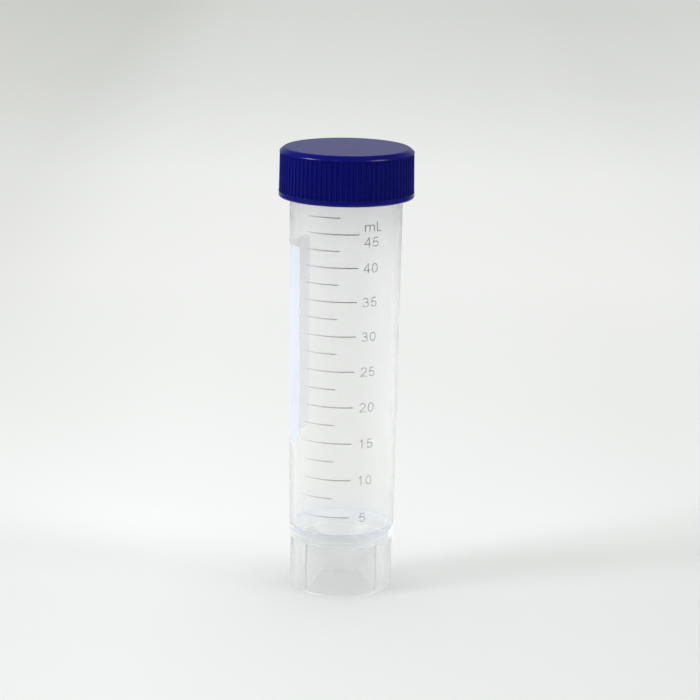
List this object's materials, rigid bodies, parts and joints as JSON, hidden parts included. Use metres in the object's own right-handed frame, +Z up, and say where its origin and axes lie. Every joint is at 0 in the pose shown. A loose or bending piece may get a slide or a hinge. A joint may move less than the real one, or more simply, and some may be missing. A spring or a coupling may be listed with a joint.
{
  "type": "50 ml self-standing centrifuge tube",
  "caption": "Translucent graduated tube with a conical bottom inside a standing skirt, closed by a ribbed blue screw cap.",
  "frame": {"origin": "centre of the skirt's foot, on the tube's axis, in the plane it stands on", "axes": "+Z up along the tube's axis; the graduations face -Y and read towards +X"},
  "size_m": [0.0344, 0.0344, 0.115],
  "materials": {
    "clear_polypropylene": "translucent, semi-gloss",
    "blue_cap": "satin moulded",
    "graduation_ink": "matte print",
    "writing_patch": "matte print"
  },
  "bodies": {
    "tube": {"tube": "clear_polypropylene"},
    "cap": {"screw_cap": "blue_cap"}
  },
  "joints": [
    {"name": "cap_lift", "type": "slide", "parent": "tube", "child": "cap", "axis": [0, 0, 1], "range_m": [0, 0.025]}
  ]
}
